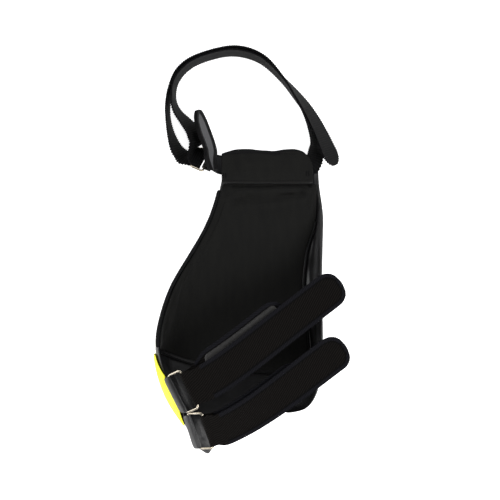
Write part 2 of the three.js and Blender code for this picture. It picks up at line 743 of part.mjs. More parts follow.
const BLACK_PU = { color: 0x131315, roughness: 0.38 };
const LINING = { color: 0x0f0f10, roughness: 0.95 };
const PIPING = { color: 0x17171a, roughness: 0.5 };
const WEBBING = { color: 0x101012, roughness: 0.85 };
const ELASTIC = { color: 0x121214, roughness: 0.9 };
const HOOK_TAPE = { color: 0x3c3a3a, roughness: 0.8 };
const GREY_TAPE = { color: 0x2a2a2d, roughness: 0.8 };
const STEEL = { color: 0xd9d2c4, roughness: 0.25, metalness: 1 };
const YELLOW_PU = { color: 0xf2ee0a, roughness: 0.45 };

const thighPad = new THREE.Group();
thighPad.position.set(-MIDDLE.x, -MIDDLE.y, 0);

function addPiece(name, geometry, finish) {
  const mesh = new THREE.Mesh(geometry, new THREE.MeshStandardMaterial({ metalness: 0, ...finish }));
  mesh.name = name;
  thighPad.add(mesh);
}

addPiece('outer_shell', outerShell(), BLACK_PU);
addPiece('inner_pad', innerPad(), LINING);
addPiece('rim_binding', rimBinding(), PIPING);
addPiece('seam_piping', seamPiping(), PIPING);
addPiece('hem_piping', hemPiping(), PIPING);
addPiece('yellow_panel', yellowPanel(), YELLOW_PU);
addPiece('belt_tunnel', beltTunnel(), LINING);
addPiece('waist_belt', waistBelt(), WEBBING);
addPiece('belt_buckle', beltSlider(), STEEL);
addPiece('belt_tab', beltTab(), GREY_TAPE);
addPiece('belt_tongue', beltTongue(), GREY_TAPE);
for (const strap of STRAPS) {
  addPiece(`leg_strap_${strap.name}`, legStrap(strap), ELASTIC);
  addPiece(`hook_patch_${strap.name}`, hookPatch(strap), HOOK_TAPE);
  addPiece(`strap_ring_${strap.name}`, strapRing(strap), STEEL);
  addPiece(`ring_tab_${strap.name}`, ringTab(strap), PIPING);
}

export default thighPad;
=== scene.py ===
# A thigh pad for sport, lying on its outer face on a pale floor and seen from straight above.
# The tables are in millimetres, in the plan of the part, and place() turns them into metres.
import math

import bmesh
import bpy
from mathutils import Matrix, Vector, kdtree, noise
from mathutils.bvhtree import BVHTree


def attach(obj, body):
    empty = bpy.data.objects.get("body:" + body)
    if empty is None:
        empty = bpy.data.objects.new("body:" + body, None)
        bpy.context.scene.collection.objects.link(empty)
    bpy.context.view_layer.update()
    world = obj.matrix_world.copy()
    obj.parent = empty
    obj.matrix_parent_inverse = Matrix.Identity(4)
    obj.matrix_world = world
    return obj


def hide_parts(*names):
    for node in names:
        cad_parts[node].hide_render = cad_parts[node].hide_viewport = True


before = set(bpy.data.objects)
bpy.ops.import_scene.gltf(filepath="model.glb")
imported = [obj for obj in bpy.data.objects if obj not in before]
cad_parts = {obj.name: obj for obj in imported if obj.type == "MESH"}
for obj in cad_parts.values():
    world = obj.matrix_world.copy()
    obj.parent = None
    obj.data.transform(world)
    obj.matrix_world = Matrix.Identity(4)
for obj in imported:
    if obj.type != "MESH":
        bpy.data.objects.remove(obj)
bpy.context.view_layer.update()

MM = 0.001
MIDDLE = Vector((0.4, -3.4, 0.0))   # middle of the whole piece in the plan of the tables
UP = Vector((0.0, 0.0, 1.0))

# The camera over the middle of the picture
CAMERA_HEIGHT = 1300.0
VIEW_WIDTH = 710.0                   # floor that the picture takes in

# The floor and the low wall round it, in metres
FLOOR_REACH = 14.0
WALL_REACH = 12.0
WALL_HEIGHT = 0.6
WALL_SIDES = 48

# Even light of the room, and soft boxes round the pad: place, width and height in metres, power in watts
ROOM_LIGHT = 0.15
SOFT_BOXES = (
    ((-1.5, 0.1, 0.9), (1.4, 1.0), 13.0),
    ((-1.2, -0.7, 0.16), (0.8, 0.2), 6.0),
    ((1.3, -0.4, 0.9), (1.4, 1.0), 24.0),
    ((0.0, 1.6, 1.2), (1.6, 1.0), 15.0),
    ((0.0, -1.6, 1.2), (1.6, 1.0), 14.0),
)

# Steps that curves are drawn in
CURVE_STEPS = 24                     # between two rows of a table
RUN_STEPS = 36                       # along a strap, from its round end to the fold
TAIL_STEPS = 12                      # along a strap's tail
FOLD_STEPS = 6                       # half a turn round a bar
CORNER_STEPS = 7                     # a round corner of a wire frame
ARC_STEPS = 8                        # the curved seam at a strap's end

# Leg straps
STRAP_WIDTH = 49.0
STRAP_THICK = 2.4
BINDING_WIDTH = 5.5                  # bound edge of the straps
BINDING_THICK = 3.3
STRAP_STEP = 2.0
HOOK_THICK = 1.0
RING_WIRE = 3.0
RING_INSIDE = 53.0
RING_CORNER = 4.0
TAB_SPREAD = 0.38                    # how much wider than its solid a ring's tab is
BEND_START = 18.0                    # from the ring's bar to the full bend
GAP = 0.3                            # clearance between neighbouring pieces
NECK_WIDTH = 47.5                    # plain webbing neck of a strap in its ring
NECK_EASE = (6.0, 12.0)              # the neck widens from so far before its end to so far after it
TAIL_NECK = 10.0                     # how much longer the neck is on the tail
SOLID_THICK = 2.5                    # thickness of the strap's solid
STRAP_REACH = RING_WIRE / 2 + GAP + SOLID_THICK / 2   # from the middle of the ring's bar to the strap's
LEVEL_SHARE = 0.9                    # share of the run after which a strap lies level across
SLOPE_SHARE = 0.02                   # share of the run to each side that a strap's slope is read over
FOLD_START = 8.0                     # from the bar to the start of the fold
TAIL_START = 14.0                    # from the bar to the straight part of the tail
TAIL_CLOSED = 34.0                   # from the bar to where the tail lies close under the strap
TAIL_SHIFTED = 45.0                  # from the bar to where the tail has its whole sideways shift
END_FULLNESS = 2.4                   # 2 is a round strap end, more is blunter
ROUND_END = (0.35, 0.55, 0.7, 0.8, 0.88, 0.94, 0.98, 0.997)

# For each strap: the ring's bar, the way along the bar, the way from the bar to the tab, the strap's
# ways along and out at the fold, its heading in degrees, its run from the bar, its heights over the run,
# how far it bows towards the knee end, the length and the sideways shift of its tail, and the length of
# the narrower neck by the ring.
STRAPS = (
    dict(
        name="upper", bar=(-81.5, -187, 67), side=(0.451, -0.893, 0.001), reach=(-17.21, -8.71, -8.5),
        along=(0.893, 0.451, 0.0), out=(0.0, 0.0, 1.0), angle=34.9, span=226, lift=(67, 74, 61, 57),
        bend=6, tail=168, tail_shift=14, neck=24,
    ),
    dict(
        name="lower", bar=(-57, -245, 58), side=(0.276, -0.908, -0.317), reach=(-20.29, -2.68, -9.99),
        along=(0.946, 0.315, -0.078), out=(0.17, -0.278, 0.945), angle=31.5, span=195, lift=(58, 66, 64, 60),
        bend=11, tail=152, tail_shift=4, neck=18,
    ),
)

# Bound edges of strips: the soft step at the tape's border, and the dip of the seam beside it
TAPE_STEP = 0.8
DIP_DEPTH = 0.4
DIP_WIDTH = 1.1
SHARP_ANGLE = 55.0                   # strips are shaded sharp at edges steeper than this

# Stitches: their spacing, and their length, width and height
STITCH_PITCH = 3.4
STITCH_SIZE = (2.5, 0.9, 0.6)
SEW_FROM = 150.0                     # height that stitches are dropped from
SEAM_INSET = 0.9                     # from a strap's bound edge to its seam
SEAM_STRIDE = 4                      # a strap's seam is drawn through every fourth of its rows
TIP_SEAM = 16.0                      # from the end of a strap's straight run back to its curved seam

# Waist belt: x, y, the lean of its upper edge out of the loop, in degrees, and the share of its width
BELT_WIDTH = 38.0
BELT_THICK = 1.7
BELT_STEP = 0.8
BELT_ROW_STEP = 8.0                  # spacing of the rows that the belt is drawn through
BELT_HALF_SOLID = 1.0                # half the thickness of the solids of the belt and its tab
RIB_PITCH = 3.2                      # ribs of the webbing, which also scallop its selvage
RIB_HEIGHT = 0.8
SCALLOP = 0.8
SELVAGE_WIDTH = 2.0
SELVAGE_GAIN = 0.6                   # how much higher the ribs are at the selvage
BELT_IN_TUNNEL_Z = 12.3
BELT_INNER_ROUTE = (
    (22, 115.5, -90, 0.68), (60, 115.5, -90, 0.68), (76, 115.5, -90, 0.68), (85, 118, -80, 0.68),
    (90.5, 127, -60, 0.72), (93, 140, -42, 0.84), (92.5, 153, -28, 0.96), (81, 182, -14, 1),
    (65, 209, -5, 1), (44, 239, 0, 1), (14, 266, 2, 1), (-22, 276, 2, 1), (-58, 270, 2, 1),
    (-86, 257, 2, 1), (-103, 237, 3, 1), (-107, 214, 5, 1), (-102, 195, 14, 1), (-90, 180, 23, 1),
    (-79, 166, 30, 1), (-73, 151, 36, 1),
)
BELT_OUTER_ROUTE = (
    (-91, 129, 36, 1), (-102, 141, 24, 1), (-109.5, 160, 12, 1), (-114, 181, 5, 1), (-115, 202, 3, 1),
    (-111, 226, 2, 1), (-99, 251, 2, 1), (-72, 269, 2, 1), (-22, 280.5, 2, 1), (17, 269, 2, 1),
    (47, 241.5, -8, 1), (71.5, 210.8, -22, 1), (87, 187, -29, 1), (99.5, 163.7, -33, 1), (112, 136, -38, 1),
)

# Slider: its centre bar, the belt's heading and the lean of the bar, in degrees
SLIDER = dict(x=-68, y=127, z=18.8, heading=-22.7, lean=43, long=46, wide=18, wire=3.0, corner=3.0)
SLIDER_FOLD = SLIDER["wire"] / 2 + GAP + BELT_HALF_SOLID   # radius of a strip folded round its bars
SLIDER_LEAD = 0.75                   # share of its width from the bar to where the belt runs straight

# Grey tab: its ends in the tunnel and at the tunnel's mouth, and its end folded back at the slider
TAB_WIDTH = 27.0
TAB_THICK = 1.9
TAB_EDGE = 2.1                       # thickness of its edge
TAB_BINDING = 1.5
TAB_START = Vector((-14, 119, BELT_IN_TUNNEL_Z))
TAB_LEAVE = Vector((-40, 119, BELT_IN_TUNNEL_Z))
TAB_ROWS = 7
TAB_TURN = 0.4                       # share of its run after which it turns up
TAB_RETURN = 9.0
FINE_STEP = 1.5                      # spacing of the rows of the tab and the tongue

# Tongue: x, y, lean, share of the full width, and lift over the tab
TONGUE_WIDTH = 34.0
TONGUE_THICK = 1.9
TONGUE_BINDING = 5.5
TONGUE_EDGE = 5.6                    # thickness of its bound edge
TONGUE_STAND = 1.2                   # gap between its lower edge and the floor
TONGUE_ROUTE = (
    (-51, 111, -50, 0.42, 20), (-53, 119, -46, 0.5, 20), (-54.5, 128, -36, 0.68, 16),
    (-55, 138, -28, 0.85, 8), (-58, 149, -25, 0.97, 2), (-63.5, 164, -25, 1, 0),
    (-69, 181, -24, 0.9, 0), (-71.5, 191, -23, 0.62, 0), (-73, 196, -22, 0.28, 0),
)

# Padding: pressure and time of the cloth simulation, and how far the shell and the lining may swell
PAD_PRESSURE = 3.0
PAD_FRAMES = 20
PAD_QUALITY = 3                      # steps of the simulation in each frame
FREE_FACING = (0.05, 0.4)            # points that look up less are held, those that look up more are free
SHELL_SWELL = 1.2
LINING_SWELL = 1.5

# Creases in the lining below the tunnel: plan places along each, its depth and its half width
LINING_CREASES = (
    (((-23, 91), (10, 89), (46, 91), (81, 92)), 3.0, 3.0),
    (((-4, 79), (27, 81), (57, 80)), 2.0, 3.0),
    (((-20, 70), (-4, 74), (25, 74), (53, 78), (72, 81)), 3.2, 4.0),
)
CREASE_ZONE = (55, 110)              # part of the pad, along it, that has creases
CREASE_STEPS = 12                    # steps between two of the places
CREASE_SWELL = 0.5                   # height of the swell beside a crease, as a share of its depth
CREASE_SWELL_PLACE = 2.4             # and its distance from the crease, in half widths
LEG_FACE = 0.3                       # a face that looks up more than this is on the leg side

# The sleeve's upright folds and small puckers: size along x and y, height, and layer of the noise
SLEEVE_FOLDS = (16, 45, 0.9, 3.0)
SLEEVE_PUCKERS = (40, 7, 0.5, 8.0)

# Edge binding of the left wing: how far it swells, how far it is drawn to the shell, the way it is drawn
# over the rim, and where that starts and is whole, towards the knee end
LAP_SWELL = 1.4
LAP_DRAW = 2.4
RIM_DRAW = Vector((-3.2, -0.8, -0.6))
RIM_DRAW_ZONE = (-30.0, 60.0)

# Way that the yellow panel's upper border is drawn over the wing's rim, and the length of its tapered ends
PANEL_DRAW = Vector((6.0, 2.2, 3.6))
PANEL_TAPER = 34.0

# Lowest corner of the shell, at the knee end: its place, the radius that is eased and how often
KNEE_CORNER = (-58, -289)
KNEE_RADIUS = 20.0
KNEE_PASSES = 6

# Sewn seams: plan places along each
SHELL_SEAMS = (
    ((-112, -140), (-101, -141), (-90, -144), (-81, -149)),
    ((98, 62), (90, 35), (82, 8), (79, -20), (79, -50), (82, -84), (84, -112)),
    ((88, -194), (79, -211), (69, -219), (60, -220), (45, -217)),
)
SLEEVE_SEAMS = (
    ((-36, 98), (-10, 97), (20, 97), (50, 97), (84, 98)),
    ((-34, 133), (-8, 136), (20, 136), (46, 135), (66, 134)),
)
BARTACKS = ((-34, 101), (82, 104))
BARTACK_PITCH = 3.2
BARTACK_ROWS = 7
SHADED_HEM_START = 130.0                    # from here on the sleeve's free edge takes the darker binding material, as painted shade on its rolled edge
SHADED_HEM_FACING = 0.25                    # where its faces look towards the belt more than this


def place(x, y, z):
    return (Vector((x, y, z)) - MIDDLE) * MM


def mix(start, end, share):
    return start + (end - start) * share


def ease(value, start, end):
    share = min(1.0, max(0.0, (value - start) / (end - start)))
    return share * share * (3.0 - 2.0 * share)


def shares(count):
    return [step / count for step in range(count + 1)]


# Smooth curves through rows of numbers

def row_at(rows, spot):
    """The row at a spot between the table's rows, on a smooth curve through them."""
    last = len(rows) - 1
    first = min(int(spot), last - 1)
    t = spot - first
    picks = [rows[min(last, max(0, first + step))] for step in (-1, 0, 1, 2)]
    return [
        0.5 * (2 * b + (c - a) * t + (2 * a - 5 * b + 4 * c - d) * t ** 2 + (3 * b - a - 3 * c + d) * t ** 3)
        for a, b, c, d in zip(*picks)
    ]


def fine_line(rows, steps):
    """A smooth line through the table's rows, with that many steps between two of them."""
    return [row_at(rows, step / steps) for step in range(steps * (len(rows) - 1) + 1)]


def even_rows(rows, step):
    """Rows at even steps of length along the smooth curve through the first three columns."""
    fine = fine_line(rows, CURVE_STEPS)
    lengths = [0.0]
    for one, two in zip(fine, fine[1:]):
        lengths.append(lengths[-1] + math.dist(one[:3], two[:3]))
    count = round(lengths[-1] / step)
    result = []
    k = 0
    for share in shares(count):
        wanted = share * lengths[-1]
        while k < len(fine) - 2 and lengths[k + 1] < wanted:
            k += 1
        part = (wanted - lengths[k]) / (lengths[k + 1] - lengths[k])
        result.append([mix(a, b, part) for a, b in zip(fine[k], fine[k + 1])])
    return result


# Materials

def linear(code):
    """An sRGB hex colour as linear red, green, blue and alpha."""
    values = [int(code[i:i + 2], 16) / 255 for i in (1, 3, 5)]
    return [v / 12.92 if v <= 0.04045 else ((v + 0.055) / 1.055) ** 2.4 for v in values] + [1.0]


def add_node(tree, kind, inputs=None, **settings):
    """Adds a node with its settings. An input takes a value or the socket that feeds it."""
    node = tree.nodes.new(kind)
    for name, value in settings.items():
        setattr(node, name, value)
    for name, value in (inputs or {}).items():
        if isinstance(value, bpy.types.NodeSocket):
            tree.links.new(value, node.inputs[name])
        else:
            node.inputs[name].default_value = value
    return node


def new_material(name):
    material = bpy.data.materials.new(name)
    material.use_nodes = True
    tree = material.node_tree
    shader = tree.nodes["Principled BSDF"]
    return material, tree, shader


def two_tones(tree, pattern, dark, light, low=0.0, high=1.0):
    """A colour that goes from dark to light as a pattern goes from low to high."""
    share = add_node(tree, "ShaderNodeMapRange", {"Value": pattern, "From Min": low, "From Max": high})
    tone = add_node(tree, "ShaderNodeMixRGB", {
        "Fac": share.outputs["Result"], "Color1": linear(dark), "Color2": linear(light)})
    return tone.outputs["Color"]


def per_mm(size):
    """Texture scale for a pattern of that size in millimetres."""
    return 1.0 / (size * MM)


def bands(size):
    """Scale of a wave texture whose bands are that many millimetres apart."""
    return math.pi / 10 * per_mm(size)


# Smooth-faced cloth: polyurethane coated cloth, whose calendered film is semi-gloss, or close-woven binding
# tape, which is matte. Both have a fine grain, drawn at 1.1 mm so that it shows, and slight waviness.
def smooth_cloth(name, dark, light, roughness, specular):
    material, tree, shader = new_material(name)
    coords = add_node(tree, "ShaderNodeTexCoord").outputs["Object"]
    grain = add_node(tree, "ShaderNodeTexVoronoi", {"Vector": coords, "Scale": per_mm(1.1)})
    wave = add_node(tree, "ShaderNodeTexNoise", {"Vector": coords, "Scale": per_mm(22), "Detail": 4.0})
    tone = two_tones(tree, wave.outputs["Fac"], dark, light, 0.35, 0.7)
    tree.links.new(tone, shader.inputs["Base Color"])
    rough = add_node(tree, "ShaderNodeMapRange", {
        "Value": wave.outputs["Fac"], "To Min": roughness - 0.06, "To Max": roughness + 0.08})
    tree.links.new(rough.outputs["Result"], shader.inputs["Roughness"])
    pebble = add_node(tree, "ShaderNodeBump", {
        "Height": grain.outputs["Distance"], "Strength": 0.16, "Distance": 0.12 * MM})
    ripple = add_node(tree, "ShaderNodeBump", {
        "Height": wave.outputs["Fac"], "Normal": pebble.outputs["Normal"],
        "Strength": 0.35, "Distance": 1.2 * MM})
    tree.links.new(ripple.outputs["Normal"], shader.inputs["Normal"])
    shader.inputs["Specular IOR Level"].default_value = specular
    return material


# Brushed nylon knit, black: raised fibres give a matte face with a faint sheen and brush marks.
def brushed_knit():
    material, tree, shader = new_material("Brushed nylon knit")
    coords = add_node(tree, "ShaderNodeTexCoord").outputs["Object"]
    nap = add_node(tree, "ShaderNodeTexNoise", {"Vector": coords, "Scale": per_mm(0.9), "Detail": 3.0})
    stretched = add_node(tree, "ShaderNodeMapping", {"Vector": coords, "Scale": (1.0, 0.25, 1.0)})
    marks = add_node(tree, "ShaderNodeTexNoise", {
        "Vector": stretched.outputs["Vector"], "Scale": per_mm(9), "Detail": 5.0})
    tone = two_tones(tree, marks.outputs["Fac"], "#0a0a09", "#10100e", 0.3, 0.75)
    tree.links.new(tone, shader.inputs["Base Color"])
    bump = add_node(tree, "ShaderNodeBump", {
        "Height": nap.outputs["Fac"], "Strength": 0.4, "Distance": 0.35 * MM})
    tree.links.new(bump.outputs["Normal"], shader.inputs["Normal"])
    shader.inputs["Roughness"].default_value = 0.92
    shader.inputs["Specular IOR Level"].default_value = 0.2
    shader.inputs["Sheen Weight"].default_value = 0.06
    shader.inputs["Sheen Roughness"].default_value = 0.5
    return material


# Woven tapes and webbing, read on the strip's own run (U) and width (V), both in metres. Threads finer
# than the picture shows are drawn at about 1.5 mm. The attribute edge is the distance from the strip's
# outline, where a folded tape of its own colours binds it, with painted shade darkening the seam beside the
# tape.
def woven_tape(name, body, tape, tape_width, run_mm, width_mm, slant, depth_mm, roughness, specular):
    material, tree, shader = new_material(name)
    flat = add_node(tree, "ShaderNodeUVMap", uv_map="Weave").outputs["UV"]
    turned = add_node(tree, "ShaderNodeMapping", {
        "Vector": flat, "Rotation": (0.0, 0.0, math.radians(slant))}).outputs["Vector"]
    weft = add_node(tree, "ShaderNodeTexWave", {
        "Vector": turned, "Scale": bands(run_mm), "Distortion": 0.5, "Detail Scale": 2.0},
        bands_direction="X")
    warp = add_node(tree, "ShaderNodeTexWave", {
        "Vector": turned, "Scale": bands(width_mm), "Distortion": 0.5, "Detail Scale": 2.0},
        bands_direction="Y")
    threads = add_node(tree, "ShaderNodeMapRange", {"Value": warp.outputs["Fac"], "To Min": 0.45})
    weave = add_node(tree, "ShaderNodeMath", {0: weft.outputs["Fac"], 1: threads.outputs["Result"]},
                     operation="MULTIPLY").outputs["Value"]
    body_tone = two_tones(tree, weave, body[0], body[1], 0.0, 0.8)
    tape_tone = two_tones(tree, weave, tape[0], tape[1], 0.0, 0.8)
    edge = add_node(tree, "ShaderNodeAttribute", attribute_name="edge").outputs["Fac"]
    bound = add_node(tree, "ShaderNodeMapRange", {
        "Value": edge, "From Min": (tape_width - 0.4) * MM, "From Max": (tape_width + 0.4) * MM,
        "To Min": 1.0, "To Max": 0.0})
    tone = add_node(tree, "ShaderNodeMixRGB", {
        "Fac": bound.outputs["Result"], "Color1": body_tone, "Color2": tape_tone})
    # Painted shade: a narrow band along the sewn seam beside the tape is darkened towards near black.
    from_seam = add_node(tree, "ShaderNodeMath", {0: edge, 1: (tape_width + 0.5) * MM}, operation="SUBTRACT")
    apart = add_node(tree, "ShaderNodeMath", {0: from_seam.outputs["Value"]}, operation="ABSOLUTE")
    painted_seam_shade = add_node(tree, "ShaderNodeMapRange", {
        "Value": apart.outputs["Value"], "From Min": 0.4 * MM, "From Max": 1.6 * MM,
        "To Min": 0.85, "To Max": 0.0})
    shaded = add_node(tree, "ShaderNodeMixRGB", {
        "Fac": painted_seam_shade.outputs["Result"], "Color1": tone.outputs["Color"], "Color2": linear("#020202")})
    tree.links.new(shaded.outputs["Color"], shader.inputs["Base Color"])
    bump = add_node(tree, "ShaderNodeBump", {
        "Height": weave, "Strength": 0.7, "Distance": depth_mm * MM})
    tree.links.new(bump.outputs["Normal"], shader.inputs["Normal"])
    shader.inputs["Roughness"].default_value = roughness
    shader.inputs["Specular IOR Level"].default_value = specular
    return material


# Moulded nylon hook tape, grey: rows of tiny hooks that scatter light over a grey ground.
def hook_tape():
    material, tree, shader = new_material("Moulded nylon hook tape")
    coords = add_node(tree, "ShaderNodeTexCoord").outputs["Object"]
    hooks = add_node(tree, "ShaderNodeTexVoronoi", {
        "Vector": coords, "Scale": per_mm(1.5), "Randomness": 0.6})
    tone = two_tones(tree, hooks.outputs["Distance"], "#262423", "#100f0f", 0.1, 0.7)
    tree.links.new(tone, shader.inputs["Base Color"])
    bump = add_node(tree, "ShaderNodeBump", {
        "Height": hooks.outputs["Distance"], "Strength": 0.8, "Distance": -0.4 * MM})
    tree.links.new(bump.outputs["Normal"], shader.inputs["Normal"])
    shader.inputs["Roughness"].default_value = 0.6
    return material


# Nickel-plated steel wire: drawn and barrel polished, so it mirrors softly with a warm tone.
def plated_wire():
    material, tree, shader = new_material("Nickel plated steel wire")
    coords = add_node(tree, "ShaderNodeTexCoord").outputs["Object"]
    wear = add_node(tree, "ShaderNodeTexNoise", {"Vector": coords, "Scale": per_mm(5), "Detail": 4.0})
    tone = two_tones(tree, wear.outputs["Fac"], "#a89e8b", "#d2cabb", 0.3, 0.7)
    tree.links.new(tone, shader.inputs["Base Color"])
    rough = add_node(tree, "ShaderNodeMapRange", {
        "Value": wear.outputs["Fac"], "To Min": 0.14, "To Max": 0.28})
    tree.links.new(rough.outputs["Result"], shader.inputs["Roughness"])
    shader.inputs["Metallic"].default_value = 1.0
    return material


# Spun polyester thread, waxed black: nearly matte, with small changes of tone from its twist.
def sewing_thread():
    material, tree, shader = new_material("Waxed polyester thread")
    coords = add_node(tree, "ShaderNodeTexCoord").outputs["Object"]
    twist = add_node(tree, "ShaderNodeTexNoise", {"Vector": coords, "Scale": per_mm(1.2)})
    tone = two_tones(tree, twist.outputs["Fac"], "#040405", "#0e0e10", 0.3, 0.7)
    tree.links.new(tone, shader.inputs["Base Color"])
    shader.inputs["Roughness"].default_value = 0.9
    shader.inputs["Specular IOR Level"].default_value = 0.1
    return material


# Opal acrylic sheet of a light table under the pad: cast, sanded matte and lit evenly from below.
def light_table():
    material, tree, shader = new_material("Opal acrylic light table")
    coords = add_node(tree, "ShaderNodeTexCoord").outputs["Object"]
    tooth = add_node(tree, "ShaderNodeTexNoise", {"Vector": coords, "Scale": per_mm(60), "Detail": 2.0})
    tone = two_tones(tree, tooth.outputs["Fac"], "#fbfbfb", "#fefefe")
    tree.links.new(tone, shader.inputs["Base Color"])
    shader.inputs["Roughness"].default_value = 1.0
    shader.inputs["Specular IOR Level"].default_value = 0.0
    shader.inputs["Emission Color"].default_value = linear("#ffffff")
    shader.inputs["Emission Strength"].default_value = 0.9
    return material


BLACK_PU = smooth_cloth(
    "Black polyurethane coated cloth", "#0d0d0e", "#19191b", roughness=0.42, specular=0.5)
YELLOW_PU = smooth_cloth(
    "Yellow polyurethane coated cloth", "#fffa00", "#fffe4a", roughness=0.5, specular=0.3)
BINDING = smooth_cloth(
    "Folded nylon binding tape", "#070708", "#0c0c0e", roughness=0.75, specular=0.15)
KNIT = brushed_knit()
WEBBING = woven_tape(
    "Woven polypropylene webbing", body=("#010101", "#0d0d0f"), tape=("#020203", "#0f0f12"),
    tape_width=SELVAGE_WIDTH, run_mm=RIB_PITCH, width_mm=1.5, slant=0, depth_mm=0.4,
    roughness=0.85, specular=0.12)
ELASTIC = woven_tape(
    "Ribbed elastic loop tape", body=("#010101", "#171412"), tape=("#0d0d10", "#16161b"),
    tape_width=BINDING_WIDTH, run_mm=2.8, width_mm=1.6, slant=64, depth_mm=0.5,
    roughness=0.85, specular=0.08)
GREY_TAPE = woven_tape(
    "Grey woven polyester tape", body=("#3c3c3e", "#606062"), tape=("#030304", "#0a0a0c"),
    tape_width=TONGUE_BINDING, run_mm=1.5, width_mm=1.5, slant=0, depth_mm=0.15,
    roughness=0.8, specular=0.15)
TAB_TAPE = woven_tape(
    "Dark grey woven polyester tape", body=("#1c1c1e", "#303032"), tape=("#121214", "#202022"),
    tape_width=TAB_BINDING, run_mm=1.5, width_mm=1.5, slant=0, depth_mm=0.15,
    roughness=0.7, specular=0.3)
HOOKS = hook_tape()
STEEL = plated_wire()
THREAD = sewing_thread()


# Objects

def add_object(name, mesh, *materials):
    obj = bpy.data.objects.new(name, mesh)
    bpy.context.scene.collection.objects.link(obj)
    mesh.materials.clear()
    for material in materials:
        mesh.materials.append(material)
    mesh.shade_smooth()
    return obj


def mesh_from(bm, name):
    mesh = bpy.data.meshes.new(name)
    bm.to_mesh(mesh)
    bm.free()
    return mesh


def apply_modifiers(obj):
    depsgraph = bpy.context.evaluated_depsgraph_get()
    mesh = bpy.data.meshes.new_from_object(obj.evaluated_get(depsgraph))
    obj.modifiers.clear()
    obj.data = mesh


def finish_piece(obj, slot, *nodes):
    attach(obj, "root")
    if nodes:
        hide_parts(*nodes)


def subdivide(obj, levels):
    rounding = obj.modifiers.new("Rounding", "SUBSURF")
    rounding.levels = levels
    rounding.render_levels = levels
    apply_modifiers(obj)
    obj.data.shade_smooth()


def smooth_copy(name, node, levels, material):
    """A copy of a solid as a smooth mesh: merged, turned to four-sided faces and subdivided."""
    bm = bmesh.new()
    bm.from_mesh(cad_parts[node].data)
    bmesh.ops.remove_doubles(bm, verts=bm.verts, dist=0.01 * MM)
    bmesh.ops.join_triangles(bm, faces=bm.faces, angle_face_threshold=1.0, angle_shape_threshold=2.0)
    obj = add_object(name, mesh_from(bm, name), material)
    subdivide(obj, levels)
    return obj


def shift_points(mesh, shift):
    """Moves every point of a mesh by shift(place in millimetres, outward way), in millimetres."""
    points = [(vert.co.copy(), vert.normal.copy()) for vert in mesh.vertices]
    moved = [co + shift(co / MM + MIDDLE, normal) * MM for co, normal in points]
    mesh.vertices.foreach_set("co", [value for co in moved for value in co])
    mesh.update()


def ribbon(name, rows, columns, thickness, material, scallop=0.0, plain=(0.0, 0.0)):
    """A strip through even rows of centre, side way and width, as a mesh with its thickness.

    thickness takes the run along the strip and the distance from its outline. scallop is the height of
    the waves along its two long edges. plain is the stretch of the run that has no edge tape."""
    bm = bmesh.new()
    weave = bm.loops.layers.uv.new("Weave")
    count = len(rows) - 1
    bmesh.ops.create_grid(bm, x_segments=count, y_segments=columns, size=0.5)
    run = [0.0]
    for one, two in zip(rows, rows[1:]):
        run.append(run[-1] + math.dist(one[:3], two[:3]))
    outline = kdtree.KDTree(2 * len(rows))
    for i, row in enumerate(rows):
        outline.insert((run[i], row[6] / 2, 0.0), 2 * i)
        outline.insert((run[i], -row[6] / 2, 0.0), 2 * i + 1)
    outline.balance()
    bm.verts.index_update()
    flat = []
    edges = []
    for vert in bm.verts:
        i = round((vert.co.x + 0.5) * count)
        across = vert.co.y * rows[i][6]
        flat.append((run[i], across))
        from_outline = outline.find((run[i], across, 0.0))[2]
        edges.append(rows[i][6] / 2 if plain[0] < run[i] < plain[1] else from_outline)
        on_selvage = abs(vert.co.y) > 0.499   # the grid reaches half a unit to each side
        wave = scallop * math.cos(2 * math.pi * run[i] / RIB_PITCH) if on_selvage else 0.0
        side = Vector(rows[i][3:6]).normalized()
        vert.co = place(*(Vector(rows[i][:3]) + side * (across + math.copysign(1.0, across) * wave)))
    for face in bm.faces:
        for loop in face.loops:
            along, across = flat[loop.vert.index]
            loop[weave].uv = (along * MM, across * MM)
    obj = add_object(name, mesh_from(bm, name), material)
    edge = obj.data.attributes.new("edge", "FLOAT", "POINT")
    edge.data.foreach_set("value", [distance * MM for distance in edges])
    thick = [thickness(along, distance) for (along, _), distance in zip(flat, edges)]
    thickest = max(thick)
    body = obj.vertex_groups.new(name="body")
    for index, value in enumerate(thick):
        body.add([index], value / thickest, "REPLACE")
    wall = obj.modifiers.new("Thickness", "SOLIDIFY")
    wall.thickness = thickest * MM
    wall.offset = 0.0
    wall.vertex_group = "body"
    wall.thickness_vertex_group = 0.0
    apply_modifiers(obj)
    obj.data.shade_smooth()
    obj.data.set_sharp_from_angle(angle=math.radians(SHARP_ANGLE))
    return obj


def wire(points, radius, closed):
    """Round wire through points, as a mesh."""
    curve = bpy.data.curves.new("wire", "CURVE")
    curve.dimensions = "3D"
    curve.bevel_depth = radius * MM
    curve.bevel_resolution = 4
    curve.use_fill_caps = True
    spline = curve.splines.new("POLY")
    spline.points.add(len(points) - 1)
    for corner, spot in zip(spline.points, points):
        corner.co = (*spot, 1.0)
    spline.use_cyclic_u = closed
    holder = bpy.data.objects.new("wire", curve)
    bpy.context.scene.collection.objects.link(holder)
    depsgraph = bpy.context.evaluated_depsgraph_get()
    mesh = bpy.data.meshes.new_from_object(holder.evaluated_get(depsgraph))
    bpy.data.objects.remove(holder)
    return mesh


def rounded_frame(start, side, over, half_long, wide, corner):
    """Points round a rectangle with round corners. One long side is centred on start."""
    points = []
    for i, (end, far) in enumerate(((-1, 0), (1, 0), (1, 1), (-1, 1))):
        middle = start + side * end * (half_long - corner) + over * (wide - corner if far else corner)
        for share in shares(CORNER_STEPS):
            angle = math.pi / 2 * (share + i - 1)
            points.append(middle - over * corner * math.cos(angle) + side * corner * math.sin(angle))
    return [place(*spot) for spot in points]


# Stitches

stitches = bmesh.new()


